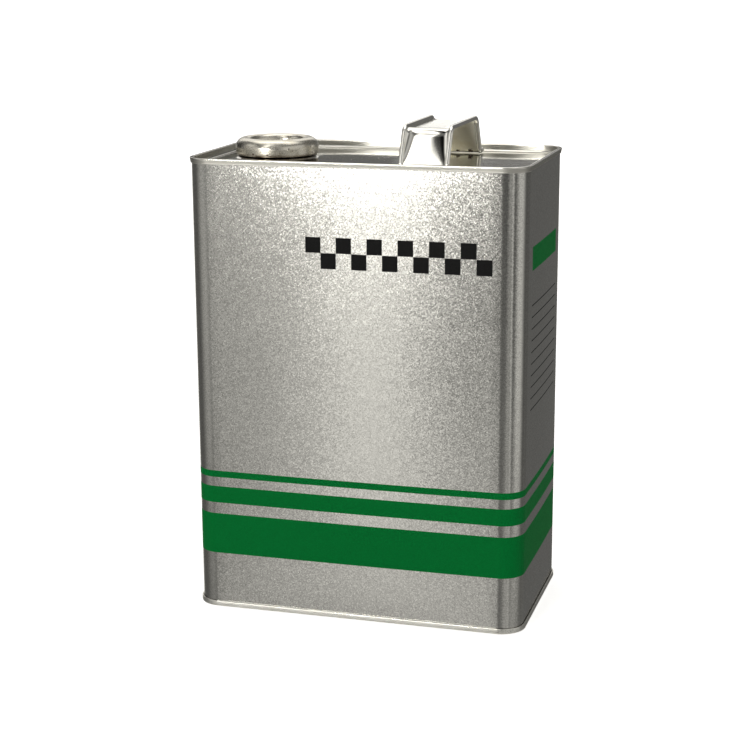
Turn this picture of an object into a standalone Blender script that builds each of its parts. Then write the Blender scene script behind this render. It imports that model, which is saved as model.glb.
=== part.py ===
"""Rectangular tinplate motor oil can with a strap handle and a pull-up pouring spout.

Metres, +Z up. The can stands on the floor at z = 0, its front faces -Y and its width runs along X.
"""
import math

import bmesh
import bpy
from mathutils import Matrix, Vector

# Can body
CAN_WIDTH = 0.176
CAN_DEPTH = 0.103
CAN_HEIGHT = 0.2395
CORNER_RADIUS = 0.012
CORNER_STEPS = 6

# Tinplate and the clearance between pieces that touch
SHEET = 0.00035
FIT_GAP = 0.0003

# Double seams that join the ends to the body
HOOK_REACH = 0.0003
COMPOUND_HEIGHT = 0.0009
SEAM_CREST_RADIUS = 0.0005
SEAM_LIP_RADIUS = 0.0003

# Pressed ends
TOP_COUNTERSINK = 0.004
BOTTOM_COUNTERSINK = 0.0045
COUNTERSINK_RADIUS = 0.0014

# Welded side seam on the back of the body, inset from the right wall
SIDE_SEAM_INSET = 0.03
SIDE_SEAM_WIDTH = 0.0016
SIDE_SEAM_HEIGHT = 0.0003

# Mouth on the top end, inset from the left wall, heights above the top panel
MOUTH_INSET = 0.032
NECK_CURL_WIDTH = 0.0012
NECK_CURL_HEIGHT = 0.0022

# Crimp ring round the mouth
RING_RADIUS = 0.0219
RING_BORE = 0.0138
RING_LIFT = 0.0012
RING_RISE = 0.0105
RING_SHOULDER_RADIUS = 0.0036
RING_BORE_RADIUS = 0.0012
RING_FOOT_RADIUS = 0.0016
RING_BORE_DEPTH = 0.0036

# Flexible spout diaphragm
FLANGE_WALL = 0.0012
FLANGE_THICKNESS = 0.0016
FLANGE_SKIRT_OVERLAP = 0.0006
CONE_TOP_RADIUS = 0.013
CONE_BASE_RADIUS = 0.0119
CONE_WALL = 0.0008
CONE_DEPTH = 0.0145

# Threaded pour nozzle
NOZZLE_BORE = 0.0074
NOZZLE_WALL = 0.0016
NOZZLE_BASE_THICKNESS = 0.0012
THREAD_PITCH = 0.004
NOZZLE_THREAD_BEAD = 0.0008
NOZZLE_THREAD_TURNS = 1.5
NOZZLE_THREAD_DROP = 0.0018

# Screw cap and its liner
CAP_DROP = 0.0047
CAP_PLATE = 0.0012
CAP_WALL = 0.0011
CAP_THREAD_CLEARANCE = 0.0004
CAP_THREAD_BEAD = 0.0006
CAP_THREAD_TURNS = 1.2
CAP_SKIRT_CLEARANCE = 0.0007
CAP_EDGE_RADIUS = 0.0008
LINER_THICKNESS = 0.0008

# Pull tabs folded flat on the cap
TAB_RADIUS = 0.0098
TAB_WIDTH = 0.003
TAB_THICKNESS = 0.0012
TAB_EDGE = 0.0003
HINGE_BLOCK_THICKNESS = 0.0012
HINGE_BLOCK_LENGTH = 0.0032
HINGE_BLOCK_HEIGHT = 0.0015

# Carrying handle, inset from the right wall, heights above the top panel
HANDLE_INSET = 0.0547
HANDLE_WIDTH = 0.0263
HANDLE_HEIGHT = 0.0214
HANDLE_TOP_LENGTH = 0.056
HANDLE_FOOT_LENGTH = 0.074
HANDLE_TAB_LENGTH = 0.0055
HANDLE_EDGE_RADIUS = 0.00125
HANDLE_DISH = 0.003
HANDLE_SHOULDER_RADIUS = 0.0055
HANDLE_HEEL_RADIUS = 0.0022
# Angles on a rolled edge, in degrees, where the upper and lower face of the web leave it
HANDLE_WEB_UPPER_ANGLE = 200
HANDLE_WEB_LOWER_ANGLE = 232
# Shares of the handle's climb where the web starts to sink and where it reaches its full depth
HANDLE_DISH_START = 0.12
HANDLE_DISH_FULL = 0.62
HANDLE_DISH_POWER = 4

# Facets
TURN_STEPS = 36
BEND_STEPS = 3
SHOULDER_STEPS = 5
HANDLE_WEB_STEPS = 8
HANDLE_ROLL_STEPS = 7
HANDLE_STATION_SPACING = 0.0036
WELD_DISTANCE = 0.000003
SMOOTH_ANGLE = math.radians(35)

# Places, levels and radii that follow from the sizes above
SIDE_SEAM_X = CAN_WIDTH / 2 - SIDE_SEAM_INSET
MOUTH_X = MOUTH_INSET - CAN_WIDTH / 2
HANDLE_X = CAN_WIDTH / 2 - HANDLE_INSET
PANEL_TOP = CAN_HEIGHT - TOP_COUNTERSINK
HOOK_DROP = SHEET + FIT_GAP + COMPOUND_HEIGHT + FIT_GAP
LIP_DROP = HOOK_DROP + SHEET + FIT_GAP
SEAM_HEIGHT = LIP_DROP + SHEET
CHUCK_OUTER = -SHEET - FIT_GAP
CHUCK_INNER = CHUCK_OUTER - SHEET
SEAM_INNER = HOOK_REACH + FIT_GAP
SEAM_OUTER = SEAM_INNER + SHEET

SKIRT_OUTER = RING_RADIUS - SHEET - FIT_GAP
SKIRT_INNER = SKIRT_OUTER - FLANGE_WALL
CURL_OUTER = SKIRT_INNER - FIT_GAP
NECK_OUTER = CURL_OUTER - NECK_CURL_WIDTH
NECK_INNER = NECK_OUTER - SHEET
FLANGE_TOP = RING_RISE - SHEET - FIT_GAP
FLANGE_UNDER = FLANGE_TOP - FLANGE_THICKNESS
NECK_TOP = FLANGE_UNDER - FIT_GAP
CURL_UNDER = NECK_TOP - NECK_CURL_HEIGHT
LIP_INNER = RING_BORE + SHEET + FIT_GAP
LIP_TOP = RING_RISE - RING_BORE_DEPTH - FIT_GAP
CONE_BASE = LIP_TOP - CONE_DEPTH

NOZZLE_OUTER = NOZZLE_BORE + NOZZLE_WALL
THREAD_CREST = NOZZLE_OUTER + NOZZLE_THREAD_BEAD
CAP_BORE = THREAD_CREST + CAP_THREAD_CLEARANCE
CAP_OUTER = CAP_BORE + CAP_WALL
CAP_TOP = RING_RISE - CAP_DROP
CAP_UNDER = CAP_TOP - CAP_PLATE
LINER_TOP = CAP_UNDER - FIT_GAP
LINER_UNDER = LINER_TOP - LINER_THICKNESS
NOZZLE_TOP = LINER_UNDER - FIT_GAP
THREAD_START = NOZZLE_TOP - NOZZLE_THREAD_DROP - THREAD_PITCH * NOZZLE_THREAD_TURNS
CAP_SKIRT_END = CONE_BASE + NOZZLE_BASE_THICKNESS + CAP_SKIRT_CLEARANCE
TAB_UNDER = CAP_TOP + FIT_GAP
TAB_HINGE_Y = HINGE_BLOCK_THICKNESS / 2 + FIT_GAP + TAB_THICKNESS / 2
TAB_HINGE_Z = TAB_UNDER + TAB_THICKNESS / 2


def clear_scene():
    for item in list(bpy.data.objects):
        bpy.data.objects.remove(item, do_unlink=True)


def new_collection(name):
    collection = bpy.data.collections.new(name)
    bpy.context.scene.collection.children.link(collection)
    return collection


def new_material(name, color, roughness, metallic):
    material = bpy.data.materials.new(name)
    material.use_nodes = True
    shader = material.node_tree.nodes["Principled BSDF"]
    shader.inputs["Base Color"].default_value = (*color, 1.0)
    shader.inputs["Roughness"].default_value = roughness
    shader.inputs["Metallic"].default_value = metallic
    return material


def new_object(name, mesh, material, collection, place):
    """Link a mesh as a named object at a place, with its material and smooth round faces."""
    item = bpy.data.objects.new(name, mesh)
    item.location = place
    if material:
        mesh.materials.clear()
        mesh.materials.append(material)
    mesh.shade_smooth()
    mesh.set_sharp_from_angle(angle=SMOOTH_ANGLE)
    collection.objects.link(item)
    return item


def new_empty(name, collection, place):
    item = bpy.data.objects.new(name, None)
    item.location = place
    collection.objects.link(item)
    return item


def baked_mesh(item):
    """The evaluated mesh of an object, welded and with its faces pointing out; the object goes."""
    bpy.context.view_layer.update()
    graph = bpy.context.evaluated_depsgraph_get()
    mesh = bpy.data.meshes.new_from_object(item.evaluated_get(graph), depsgraph=graph)
    work = bmesh.new()
    work.from_mesh(mesh)
    bmesh.ops.remove_doubles(work, verts=work.verts, dist=WELD_DISTANCE)
    bmesh.ops.recalc_face_normals(work, faces=work.faces)
    work.to_mesh(mesh)
    work.free()
    bpy.data.objects.remove(item, do_unlink=True)
    return mesh


def combined(mesh, others, operation, collection):
    """A mesh joined with, or cut by, other meshes that share its origin."""
    base = new_object("working_piece", mesh, None, collection, Vector())
    tools = []
    for other in others:
        tool = new_object("working_tool", other, None, collection, Vector())
        tool.hide_render = True
        tool.display_type = "WIRE"
        step = base.modifiers.new("combine", "BOOLEAN")
        step.object = tool
        step.operation = operation
        step.solver = "EXACT"
        tools.append(tool)
    result = baked_mesh(base)
    for tool in tools:
        bpy.data.objects.remove(tool, do_unlink=True)
    return result


def arc(center_x, center_z, radius, start, end, steps):
    """Points of an arc in a section plane, with angles in degrees."""
    points = []
    for index in range(steps + 1):
        angle = math.radians(start + (end - start) * index / steps)
        points.append((center_x + radius * math.cos(angle), center_z + radius * math.sin(angle)))
    return points


def can_outline(offset, z):
    """The can's rounded rectangle, grown by an offset, as one loop of points at a height."""
    radius = CORNER_RADIUS + offset
    corner_x = CAN_WIDTH / 2 - CORNER_RADIUS
    corner_y = CAN_DEPTH / 2 - CORNER_RADIUS
    signs = ((1, 1), (-1, 1), (-1, -1), (1, -1))
    loop = []
    for turn, (sign_x, sign_y) in enumerate(signs):
        start = 90 * turn
        for x, y in arc(sign_x * corner_x, sign_y * corner_y, radius, start, start + 90, CORNER_STEPS):
            loop.append(Vector((x, y, z)))
    return loop


def lofted_mesh(name, loops, ring):
    """A closed solid through loops of equal length: a ring of loops, or capped at both ends."""
    work = bmesh.new()
    rows = [[work.verts.new(point) for point in loop] for loop in loops]
    pairs = list(zip(rows, rows[1:]))
    if ring:
        pairs.append((rows[-1], rows[0]))
    else:
        work.faces.new(rows[0])
        work.faces.new(rows[-1])
    count = len(rows[0])
    for lower, upper in pairs:
        for index in range(count):
            after = (index + 1) % count
            work.faces.new((lower[index], lower[after], upper[after], upper[index]))
    bmesh.ops.recalc_face_normals(work, faces=work.faces)
    mesh = bpy.data.meshes.new(name)
    work.to_mesh(mesh)
    work.free()
    return mesh


def swept_section(name, section, ring):
    return lofted_mesh(name, [can_outline(offset, z) for offset, z in section], ring)


def turned_mesh(name, profile, closed, collection):
    """A profile of (radius, height) points turned about Z with a Screw modifier."""
    points = [(radius, 0.0, height) for radius, height in profile]
    edges = [(index, index + 1) for index in range(len(points) - 1)]
    if closed:
        edges.append((len(points) - 1, 0))
    mesh = bpy.data.meshes.new(name)
    mesh.from_pydata(points, edges, [])
    item = new_object(name, mesh, None, collection, Vector())
    screw = item.modifiers.new("turn", "SCREW")
    screw.angle = 2 * math.pi
    screw.steps = TURN_STEPS
    screw.render_steps = TURN_STEPS
    screw.use_merge_vertices = True
    screw.merge_threshold = WELD_DISTANCE
    return baked_mesh(item)


def thread_mesh(name, radius, bead, start_z, turns, collection):
    """A helical thread bead: a poly spline with a round bevel and filled ends."""
    count = round(TURN_STEPS * turns / 2) + 1
    curve = bpy.data.curves.new(name, "CURVE")
    curve.dimensions = "3D"
    curve.bevel_depth = bead
    curve.bevel_resolution = 1
    curve.use_fill_caps = True
    spline = curve.splines.new("POLY")
    spline.points.add(count - 1)
    for index, point in enumerate(spline.points):
        share = turns * index / (count - 1)
        angle = 2 * math.pi * share
        height = start_z + THREAD_PITCH * share
        point.co = (radius * math.cos(angle), radius * math.sin(angle), height, 1.0)
    item = bpy.data.objects.new(name, curve)
    collection.objects.link(item)
    return baked_mesh(item)


def box_mesh(name, size, center):
    work = bmesh.new()
    bmesh.ops.create_cube(work, size=1.0)
    placing = Matrix.Translation(center) @ Matrix.Diagonal((*size, 1.0))
    bmesh.ops.transform(work, matrix=placing, verts=work.verts)
    mesh = bpy.data.meshes.new(name)
    work.to_mesh(mesh)
    work.free()
    return mesh


def cylinder_mesh(name, radius, low, high, center_x):
    work = bmesh.new()
    bmesh.ops.create_cone(
        work, cap_ends=True, segments=TURN_STEPS, radius1=radius, radius2=radius, depth=high - low,
        matrix=Matrix.Translation((center_x, 0.0, (low + high) / 2)))
    mesh = bpy.data.meshes.new(name)
    work.to_mesh(mesh)
    work.free()
    return mesh


def make_body_shell(parts, tools, material):
    """Folded and welded body wall with an outward hook at each end."""
    hook_top = CAN_HEIGHT - HOOK_DROP
    section = [
        (HOOK_REACH, hook_top),
        (HOOK_REACH, hook_top - SHEET),
        (0.0, hook_top - SHEET),
        (0.0, HOOK_DROP + SHEET),
        (HOOK_REACH, HOOK_DROP + SHEET),
        (HOOK_REACH, HOOK_DROP),
        (-SHEET, HOOK_DROP),
        (-SHEET, hook_top),
    ]
    wall = swept_section("body_shell", section, True)
    seam_low = SEAM_HEIGHT + FIT_GAP
    seam_high = CAN_HEIGHT - SEAM_HEIGHT - FIT_GAP
    seam_depth = SIDE_SEAM_HEIGHT + SHEET / 2
    weld = box_mesh(
        "side_seam",
        (SIDE_SEAM_WIDTH, seam_depth, seam_high - seam_low),
        (SIDE_SEAM_X, CAN_DEPTH / 2 + SIDE_SEAM_HEIGHT - seam_depth / 2, (seam_low + seam_high) / 2))
    mesh = combined(wall, [weld], "UNION", tools)
    return new_object("body_shell", mesh, material, parts, Vector())


def end_section(countersink):
    """Section of a pressed end, from its panel out over the seam and back below, rim at the top."""
    rim = CAN_HEIGHT
    panel = rim - countersink
    bend = CHUCK_INNER - COUNTERSINK_RADIUS
    section = arc(bend, panel + COUNTERSINK_RADIUS, COUNTERSINK_RADIUS, -90, 0, BEND_STEPS)
    crest = SEAM_CREST_RADIUS
    section += arc(CHUCK_INNER + crest, rim - crest, crest, 180, 90, BEND_STEPS)
    section += arc(SEAM_OUTER - crest, rim - crest, crest, 90, 0, BEND_STEPS)
    lip_under = rim - SEAM_HEIGHT
    lip = SEAM_LIP_RADIUS
    section += arc(SEAM_OUTER - lip, lip_under + lip, lip, 0, -90, BEND_STEPS)
    section += [
        (FIT_GAP, lip_under),
        (FIT_GAP, rim - LIP_DROP),
        (SEAM_INNER, rim - LIP_DROP),
        (SEAM_INNER, rim - SHEET),
        (CHUCK_OUTER, rim - SHEET),
    ]
    section += arc(bend, panel + COUNTERSINK_RADIUS, COUNTERSINK_RADIUS + SHEET, 0, -90, BEND_STEPS)
    return section


def neck_mesh(tools):
    """Drawn neck with an outward curl, its foot half a sheet deep in the panel round the mouth."""
    profile = [
        (CURL_OUTER, NECK_TOP),
        (CURL_OUTER, CURL_UNDER),
        (NECK_OUTER, CURL_UNDER),
        (NECK_OUTER, -SHEET / 2),
        (NECK_INNER, -SHEET / 2),
        (NECK_INNER, NECK_TOP),
    ]
    mesh = turned_mesh("neck", profile, True, tools)
    mesh.transform(Matrix.Translation((MOUTH_X, 0.0, PANEL_TOP)))
    return mesh


def make_top_end(parts, tools, material):
    panel = swept_section("top_end", end_section(TOP_COUNTERSINK), False)
    hole_radius = (NECK_OUTER + NECK_INNER) / 2
    low = PANEL_TOP - TOP_COUNTERSINK
    high = PANEL_TOP + TOP_COUNTERSINK
    hole = cylinder_mesh("mouth_hole", hole_radius, low, high, MOUTH_X)
    holed = combined(panel, [hole], "DIFFERENCE", tools)
    mesh = combined(holed, [neck_mesh(tools)], "UNION", tools)
    return new_object("top_end", mesh, material, parts, Vector())


def make_bottom_end(parts, material):
    section = [(offset, CAN_HEIGHT - z) for offset, z in end_section(BOTTOM_COUNTERSINK)]
    mesh = swept_section("bottom_end", section, False)
    return new_object("bottom_end", mesh, material, parts, Vector())


def make_seam_compound(name, inner_z, outer_z, parts, material):
    """Sealing compound between the body hook and the folded crest of an end."""
    section = [(HOOK_REACH, inner_z), (HOOK_REACH, outer_z), (-SHEET, outer_z), (-SHEET, inner_z)]
    mesh = swept_section(name, section, True)
    return new_object(name, mesh, material, parts, Vector())


def make_crimp_ring(parts, tools, material, mouth):
    """Tinplate ring folded over the spout flange and tucked in below the neck's curl."""
    bore = RING_BORE_RADIUS
    shoulder = RING_SHOULDER_RADIUS
    foot = RING_FOOT_RADIUS
    lip_inner = NECK_OUTER + FIT_GAP
    bore_end = RING_RISE - RING_BORE_DEPTH
    outside = [(RING_BORE, bore_end)]
    outside += arc(RING_BORE + bore, RING_RISE - bore, bore, 180, 90, BEND_STEPS)
    outside += arc(RING_RADIUS - shoulder, RING_RISE - shoulder, shoulder, 90, 0, SHOULDER_STEPS)
    outside += arc(RING_RADIUS - foot, RING_LIFT + foot, foot, 0, -90, BEND_STEPS)
    outside.append((lip_inner, RING_LIFT))
    inside = [(lip_inner, RING_LIFT + SHEET)]
    inside += arc(RING_RADIUS - foot, RING_LIFT + foot, foot - SHEET, -90, 0, BEND_STEPS)
    inside += arc(RING_RADIUS - shoulder, RING_RISE - shoulder, shoulder - SHEET, 0, 90, SHOULDER_STEPS)
    inside += arc(RING_BORE + bore, RING_RISE - bore, bore - SHEET, 90, 180, BEND_STEPS)
    inside.append((RING_BORE + SHEET, bore_end))
    mesh = turned_mesh("crimp_ring", outside + inside, True, tools)
    item = new_object("crimp_ring", mesh, material, parts, Vector())
    item.parent = mouth
    return item


def make_spout_diaphragm(parts, tools, material, mouth):
    """Flange under the crimp ring with a thin cone that folds down into the can."""
    bore = RING_BORE_RADIUS
    shoulder = RING_SHOULDER_RADIUS
    clear = SHEET + FIT_GAP
    drop_outer = LIP_INNER + FLANGE_WALL
    lip_under = LIP_TOP - FLANGE_WALL
    profile = arc(RING_RADIUS - shoulder, RING_RISE - shoulder, shoulder - clear, 90, 0, SHOULDER_STEPS)
    profile += [
        (SKIRT_OUTER, CURL_UNDER - FLANGE_SKIRT_OVERLAP),
        (SKIRT_INNER, CURL_UNDER - FLANGE_SKIRT_OVERLAP),
        (SKIRT_INNER, FLANGE_UNDER),
        (drop_outer, FLANGE_UNDER),
        (drop_outer, lip_under),
        (CONE_TOP_RADIUS + CONE_WALL, lip_under),
        (CONE_BASE_RADIUS + CONE_WALL, CONE_BASE),
        (CONE_BASE_RADIUS, CONE_BASE),
        (CONE_TOP_RADIUS, LIP_TOP),
        (LIP_INNER, LIP_TOP),
    ]
    profile += arc(RING_BORE + bore, RING_RISE - bore, bore - clear, 180, 90, BEND_STEPS)
    mesh = turned_mesh("spout_diaphragm", profile, True, tools)
    item = new_object("spout_diaphragm", mesh, material, parts, Vector())
    item.parent = mouth
    return item


def make_pour_nozzle(parts, tools, material, spout):
    """Rigid threaded nozzle with a base flange that closes the foot of the cone."""
    base_radius = CONE_BASE_RADIUS - FIT_GAP
    base_top = CONE_BASE + NOZZLE_BASE_THICKNESS
    profile = [
        (NOZZLE_OUTER, NOZZLE_TOP),
        (NOZZLE_OUTER, base_top),
        (base_radius, base_top),
        (base_radius, CONE_BASE),
        (NOZZLE_BORE, CONE_BASE),
        (NOZZLE_BORE, NOZZLE_TOP),
    ]
    tube = turned_mesh("nozzle_tube", profile, True, tools)
    bead = NOZZLE_THREAD_BEAD
    thread = thread_mesh("nozzle_thread", NOZZLE_OUTER, bead, THREAD_START, NOZZLE_THREAD_TURNS, tools)
    mesh = combined(tube, [thread], "UNION", tools)
    item = new_object("pour_nozzle", mesh, material, parts, Vector())
    item.parent = spout
    return item


def make_spout_cap(parts, tools, material, spout):
    """Screw cap with a thread half a pitch above the nozzle's and two hinge blocks on its top."""
    edge = CAP_EDGE_RADIUS
    profile = [(0.0, CAP_TOP)]
    profile += arc(CAP_OUTER - edge, CAP_TOP - edge, edge, 90, 0, BEND_STEPS)
    profile += [
        (CAP_OUTER, CAP_SKIRT_END),
        (CAP_BORE, CAP_SKIRT_END),
        (CAP_BORE, CAP_UNDER),
        (0.0, CAP_UNDER),
    ]
    shell = turned_mesh("cap_shell", profile, False, tools)
    start = THREAD_START + THREAD_PITCH / 2
    thread = thread_mesh("cap_thread", CAP_BORE, CAP_THREAD_BEAD, start, CAP_THREAD_TURNS, tools)
    block_depth = HINGE_BLOCK_HEIGHT + CAP_PLATE / 2
    block_z = CAP_TOP + HINGE_BLOCK_HEIGHT - block_depth / 2
    block_size = (HINGE_BLOCK_LENGTH, HINGE_BLOCK_THICKNESS, block_depth)
    block_x = TAB_RADIUS - TAB_WIDTH / 2
    blocks = [box_mesh("hinge_block", block_size, (side * block_x, 0.0, block_z)) for side in (-1, 1)]
    mesh = combined(shell, [thread, *blocks], "UNION", tools)
    item = new_object("spout_cap", mesh, material, parts, Vector())
    item.parent = spout
    return item


def make_cap_liner(parts, tools, material, spout):
    radius = CAP_BORE - FIT_GAP
    profile = [(0.0, LINER_TOP), (radius, LINER_TOP), (radius, LINER_UNDER), (0.0, LINER_UNDER)]
    mesh = turned_mesh("cap_liner", profile, False, tools)
    item = new_object("cap_liner", mesh, material, parts, Vector())
    item.parent = spout
    return item


def make_pull_tab(name, side, parts, tools, material, spout):
    """Half-ring pull tab, hinged beside the blocks on the cap; side is -1 at the front, 1 at the back."""
    end_y = side * (TAB_HINGE_Y - TAB_THICKNESS / 2)
    outline = []
    for radius, sweep in ((TAB_RADIUS, 1), (TAB_RADIUS - TAB_WIDTH, -1)):
        start = math.degrees(math.asin(abs(end_y) / radius))
        span = (start, 180 - start) if sweep > 0 else (180 - start, start)
        outline += [(x, side * y) for x, y in arc(0.0, 0.0, radius, *span, TURN_STEPS // 2)]
    curve = bpy.data.curves.new(name, "CURVE")
    curve.dimensions = "2D"
    curve.fill_mode = "BOTH"
    curve.extrude = TAB_THICKNESS / 2 - TAB_EDGE
    curve.bevel_depth = TAB_EDGE
    curve.bevel_resolution = 0
    curve.offset = -TAB_EDGE
    spline = curve.splines.new("POLY")
    spline.points.add(len(outline) - 1)
    spline.use_cyclic_u = True
    for point, (x, y) in zip(spline.points, outline):
        point.co = (x, y - side * TAB_HINGE_Y, 0.0, 1.0)
    working = bpy.data.objects.new(name, curve)
    tools.objects.link(working)
    mesh = baked_mesh(working)
    hinge = Vector((0.0, side * TAB_HINGE_Y, TAB_HINGE_Z))
    item = new_object(name, mesh, material, parts, hinge)
    item.parent = spout
    return item


def handle_path():
    """Side view of the handle's edges as (position, outward normal) stations along Y and Z."""
    foot_z = PANEL_TOP + FIT_GAP + HANDLE_EDGE_RADIUS
    top_z = PANEL_TOP + HANDLE_HEIGHT - HANDLE_EDGE_RADIUS
    foot_y = HANDLE_FOOT_LENGTH / 2
    top_y = HANDLE_TOP_LENGTH / 2
    corners = [
        (Vector((-foot_y - HANDLE_TAB_LENGTH, foot_z)), 0.0),
        (Vector((-foot_y, foot_z)), HANDLE_HEEL_RADIUS),
        (Vector((-top_y, top_z)), HANDLE_SHOULDER_RADIUS),
        (Vector((top_y, top_z)), HANDLE_SHOULDER_RADIUS),
        (Vector((foot_y, foot_z)), HANDLE_HEEL_RADIUS),
        (Vector((foot_y + HANDLE_TAB_LENGTH, foot_z)), 0.0),
    ]
    stations = [corners[0][0]]
    for index in range(1, len(corners) - 1):
        corner, radius = corners[index]
        stations += rounded_corner(corners[index - 1][0], corner, corners[index + 1][0], radius)
    stations.append(corners[-1][0])
    return subdivided(stations)


def rounded_corner(before, corner, after, radius):
    """Points of the arc that rounds one corner of a path."""
    inward = (before - corner).normalized()
    onward = (after - corner).normalized()
    half = inward.angle(onward) / 2
    reach = radius / math.tan(half)
    center = corner + (inward + onward).normalized() * (radius / math.sin(half))
    first = corner + inward * reach - center
    sweep = first.angle_signed(corner + onward * reach - center)
    points = []
    for index in range(SHOULDER_STEPS + 1):
        turn = Matrix.Rotation(-sweep * index / SHOULDER_STEPS, 2)
        points.append(center + turn @ first)
    return points


def subdivided(stations):
    """Split the long straight stretches of a path so that sections can change along them."""
    points = [stations[0]]
    for start, end in zip(stations, stations[1:]):
        count = max(1, math.ceil((end - start).length / HANDLE_STATION_SPACING))
        points += [start.lerp(end, index / count) for index in range(1, count + 1)]
    return points


def handle_section(dish):
    """Closed section of the strap: a dished web between two rolled edges, as (across, outward)."""
    roll = HANDLE_EDGE_RADIUS
    roll_x = HANDLE_WIDTH / 2 - roll
    upper = math.radians(HANDLE_WEB_UPPER_ANGLE)
    lower = math.radians(HANDLE_WEB_LOWER_ANGLE)
    web_x = roll_x + roll * math.cos(upper)
    half_web = roll * (math.sin(upper) - math.sin(lower)) / 2
    web_z = roll * (math.sin(upper) + math.sin(lower)) / 2
    roll_end = HANDLE_WEB_LOWER_ANGLE - 360
    right_roll = arc(roll_x, 0.0, roll, HANDLE_WEB_UPPER_ANGLE, roll_end, HANDLE_ROLL_STEPS)
    left_roll = [(-x, z) for x, z in reversed(right_roll)]
    shares = [2 * index / HANDLE_WEB_STEPS - 1 for index in range(1, HANDLE_WEB_STEPS)]
    sunk = [(share * web_x, web_z - dish * (1 - share ** HANDLE_DISH_POWER)) for share in shares]
    upper_face = [(x, z + half_web) for x, z in sunk]
    lower_face = [(x, z - half_web) for x, z in reversed(sunk)]
    return upper_face + right_roll + lower_face + left_roll


def make_carry_handle(parts, material):
    """Pressed strap handle, lofted from sections that deepen up its legs."""
    path = handle_path()
    low_z = path[0].y
    high_z = max(point.y for point in path)
    loops = []
    for index, point in enumerate(path):
        before = path[max(index - 1, 0)]
        after = path[min(index + 1, len(path) - 1)]
        along = (after - before).normalized()
        outward = Vector((-along.y, along.x))
        climb = (point.y - low_z) / (high_z - low_z)
        depth = (climb - HANDLE_DISH_START) / (HANDLE_DISH_FULL - HANDLE_DISH_START)
        dish = HANDLE_DISH * min(1.0, max(0.0, depth))
        loop = []
        for across, lift in handle_section(dish):
            spot = point + outward * lift
            loop.append(Vector((HANDLE_X + across, spot.x, spot.y)))
        loops.append(loop)
    mesh = lofted_mesh("carry_handle", loops, False)
    return new_object("carry_handle", mesh, material, parts, Vector())


def main():
    clear_scene()
    parts = new_collection("motor_oil_can")
    tools = new_collection("cutters")
    coated = new_material("coated_tinplate", (0.50, 0.49, 0.46), 0.38, 0.9)
    bright = new_material("bright_tinplate", (0.72, 0.71, 0.68), 0.2, 1.0)
    handle_bright = new_material("handle_tinplate", (0.76, 0.75, 0.71), 0.2, 1.0)
    ring_bright = new_material("ring_tinplate", (0.66, 0.63, 0.57), 0.25, 1.0)
    compound = new_material("sealing_compound", (0.30, 0.28, 0.24), 0.7, 0.0)
    spout_plastic = new_material("spout_plastic", (0.78, 0.77, 0.73), 0.4, 0.0)
    cap_plastic = new_material("cap_plastic", (0.60, 0.60, 0.58), 0.35, 0.0)
    liner_foam = new_material("liner_foam", (0.85, 0.84, 0.80), 0.8, 0.0)

    mouth = new_empty("mouth_axis", parts, Vector((MOUTH_X, 0.0, PANEL_TOP)))
    spout = new_empty("spout_axis", parts, Vector())
    spout.parent = mouth

    make_body_shell(parts, tools, coated)
    make_top_end(parts, tools, bright)
    make_bottom_end(parts, bright)
    hook_top = CAN_HEIGHT - HOOK_DROP
    rim_inside = CAN_HEIGHT - SHEET - FIT_GAP
    make_seam_compound("top_seam_compound", hook_top + FIT_GAP, rim_inside, parts, compound)
    make_seam_compound("bottom_seam_compound", SHEET + FIT_GAP, HOOK_DROP - FIT_GAP, parts, compound)
    make_carry_handle(parts, handle_bright)
    make_crimp_ring(parts, tools, ring_bright, mouth)
    make_spout_diaphragm(parts, tools, spout_plastic, mouth)
    make_pour_nozzle(parts, tools, spout_plastic, spout)
    make_spout_cap(parts, tools, cap_plastic, spout)
    make_cap_liner(parts, tools, liner_foam, spout)
    make_pull_tab("pull_tab_front", -1, parts, tools, cap_plastic, spout)
    make_pull_tab("pull_tab_back", 1, parts, tools, cap_plastic, spout)
    bpy.context.view_layer.update()


main()
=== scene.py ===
"""Looks of the motor oil can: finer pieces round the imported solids, finishes, studio and camera."""
import math

import bmesh
import bpy
from mathutils import Matrix, Vector, noise


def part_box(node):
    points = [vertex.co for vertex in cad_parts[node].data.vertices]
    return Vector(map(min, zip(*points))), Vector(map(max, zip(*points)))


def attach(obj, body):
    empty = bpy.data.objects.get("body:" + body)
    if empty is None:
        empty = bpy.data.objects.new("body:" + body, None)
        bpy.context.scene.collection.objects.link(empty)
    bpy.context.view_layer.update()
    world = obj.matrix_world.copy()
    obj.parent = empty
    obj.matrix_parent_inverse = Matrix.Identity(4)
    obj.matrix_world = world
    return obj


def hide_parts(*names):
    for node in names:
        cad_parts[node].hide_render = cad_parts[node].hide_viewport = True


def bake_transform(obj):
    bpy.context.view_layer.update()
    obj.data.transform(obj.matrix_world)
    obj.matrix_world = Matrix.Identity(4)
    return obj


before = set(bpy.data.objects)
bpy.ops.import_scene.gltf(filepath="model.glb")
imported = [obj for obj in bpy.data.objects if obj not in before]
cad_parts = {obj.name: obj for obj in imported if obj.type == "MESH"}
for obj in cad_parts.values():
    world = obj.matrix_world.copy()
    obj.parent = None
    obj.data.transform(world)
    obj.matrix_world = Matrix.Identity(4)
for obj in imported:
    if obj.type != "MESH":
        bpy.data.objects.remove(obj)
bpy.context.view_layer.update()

# Sizes shared with the solids, in metres
SHEET = 0.00035
FIT_GAP = 0.0003
CORNER_RADIUS = 0.012
SIDE_WELD_INSET = 0.03
SEAM_REACH = 0.00095
SEAM_HEIGHT = 0.00285
SEAM_CREST = 0.0005
SEAM_LIP = 0.0003
SEAM_FOLD = 0.0006
LIP_DROP = 0.0025
COUNTERSINK_RADIUS = 0.0014
CHUCK_OUTER = -SHEET - FIT_GAP
CHUCK_INNER = CHUCK_OUTER - SHEET

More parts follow.
